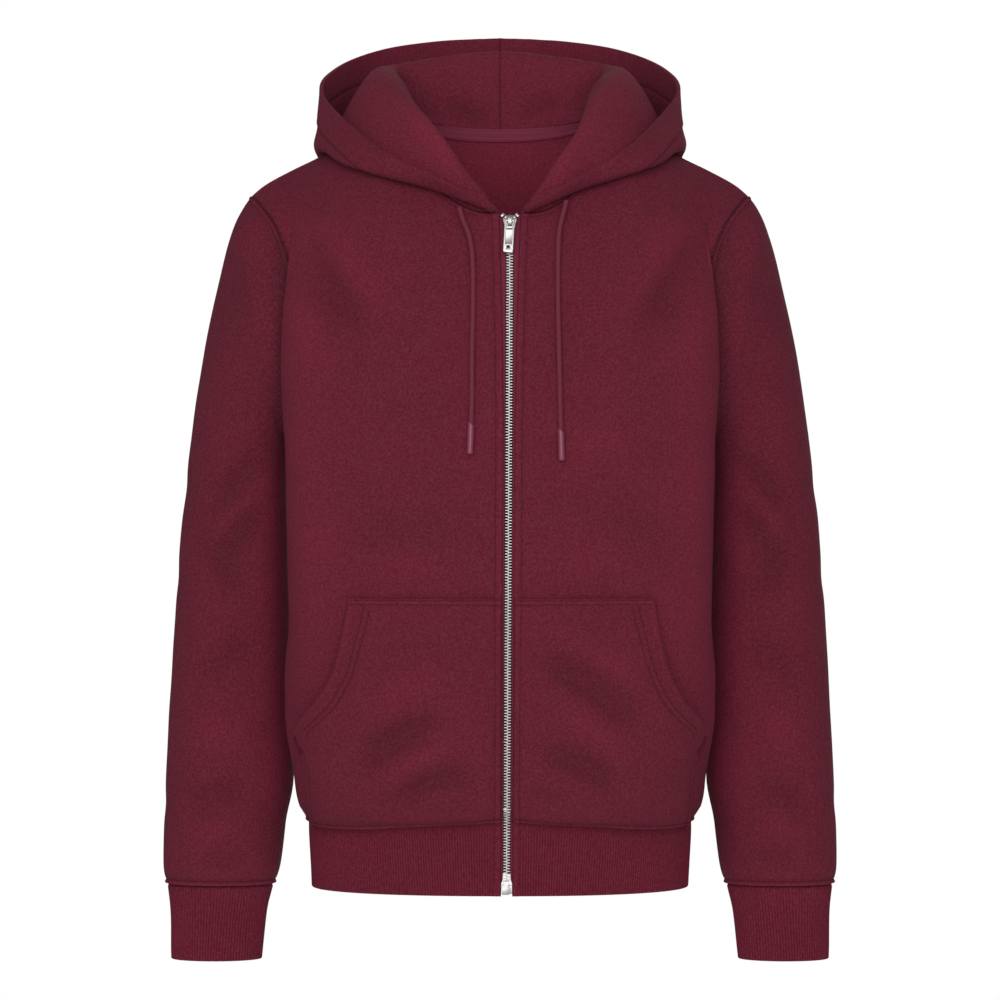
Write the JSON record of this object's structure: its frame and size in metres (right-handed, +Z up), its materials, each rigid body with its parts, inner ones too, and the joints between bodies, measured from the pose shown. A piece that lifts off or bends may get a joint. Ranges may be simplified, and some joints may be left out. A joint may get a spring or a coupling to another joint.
{
  "type": "zip-up hooded sweatshirt",
  "caption": "Long-sleeved fleece sweatshirt with a zip front, an open hood with a drawcord, patch pockets, and rib-knit cuffs and waistband, hollow as worn.",
  "frame": {"origin": "between the shoulders, level with the base of the neck, where the wearer's shoulders hold the garment", "axes": "+Z up the body, -Y out of the front, +X to the wearer's left"},
  "size_m": [0.615, 0.3471, 0.8631],
  "materials": {
    "front_left_cloth": "brushed cotton-blend fleece, burgundy",
    "front_right_cloth": "brushed cotton-blend fleece, burgundy",
    "back_cloth": "brushed cotton-blend fleece, burgundy",
    "sleeve_left_cloth": "brushed cotton-blend fleece, burgundy",
    "sleeve_right_cloth": "brushed cotton-blend fleece, burgundy",
    "cuff_left_cloth": "rib knit, burgundy",
    "cuff_right_cloth": "rib knit, burgundy",
    "waistband_cloth": "rib knit, burgundy",
    "hood_left_cloth": "brushed cotton-blend fleece, burgundy",
    "hood_right_cloth": "brushed cotton-blend fleece, burgundy",
    "neck_tape_cloth": "woven tape, burgundy",
    "pocket_left_cloth": "brushed cotton-blend fleece, burgundy",
    "pocket_right_cloth": "brushed cotton-blend fleece, burgundy",
    "zip_tape_left_cloth": "woven tape, burgundy",
    "zip_tape_right_cloth": "woven tape, burgundy",
    "zip_chain_metal": "bright nickel plate",
    "zip_slider_metal": "bright nickel plate",
    "zip_pull_tab_metal": "bright nickel plate",
    "zip_top_stop_left_metal": "bright nickel plate",
    "zip_top_stop_right_metal": "bright nickel plate",
    "zip_bottom_box_metal": "bright nickel plate",
    "drawcord_left_braid": "flat-braided cotton cord, burgundy",
    "drawcord_right_braid": "flat-braided cotton cord, burgundy",
    "cord_tip_left_dip": "satin dipped tip, paler burgundy",
    "cord_tip_right_dip": "satin dipped tip, paler burgundy"
  },
  "bodies": {
    "garment": {"front_left": "front_left_cloth", "front_right": "front_right_cloth", "back": "back_cloth", "sleeve_left": "sleeve_left_cloth", "sleeve_right": "sleeve_right_cloth", "cuff_left": "cuff_left_cloth", "cuff_right": "cuff_right_cloth", "waistband": "waistband_cloth", "hood_left": "hood_left_cloth", "hood_right": "hood_right_cloth", "neck_tape": "neck_tape_cloth", "pocket_left": "pocket_left_cloth", "pocket_right": "pocket_right_cloth", "zip_tape_left": "zip_tape_left_cloth", "zip_tape_right": "zip_tape_right_cloth", "zip_chain": "zip_chain_metal", "zip_slider": "zip_slider_metal", "zip_top_stop_left": "zip_top_stop_left_metal", "zip_top_stop_right": "zip_top_stop_right_metal", "zip_bottom_box": "zip_bottom_box_metal", "drawcord_left": "drawcord_left_braid", "drawcord_right": "drawcord_right_braid", "cord_tip_left": "cord_tip_left_dip", "cord_tip_right": "cord_tip_right_dip"},
    "pull_tab": {"zip_pull_tab": "zip_pull_tab_metal"}
  },
  "joints": [
    {"name": "pull_tab_hinge", "type": "hinge", "parent": "garment", "child": "pull_tab", "pos_m": [0.00871, -0.10275, -0.09888], "axis": [-0.9984, 0.0165, 0.0542], "range_deg": [0, 165]}
  ]
}
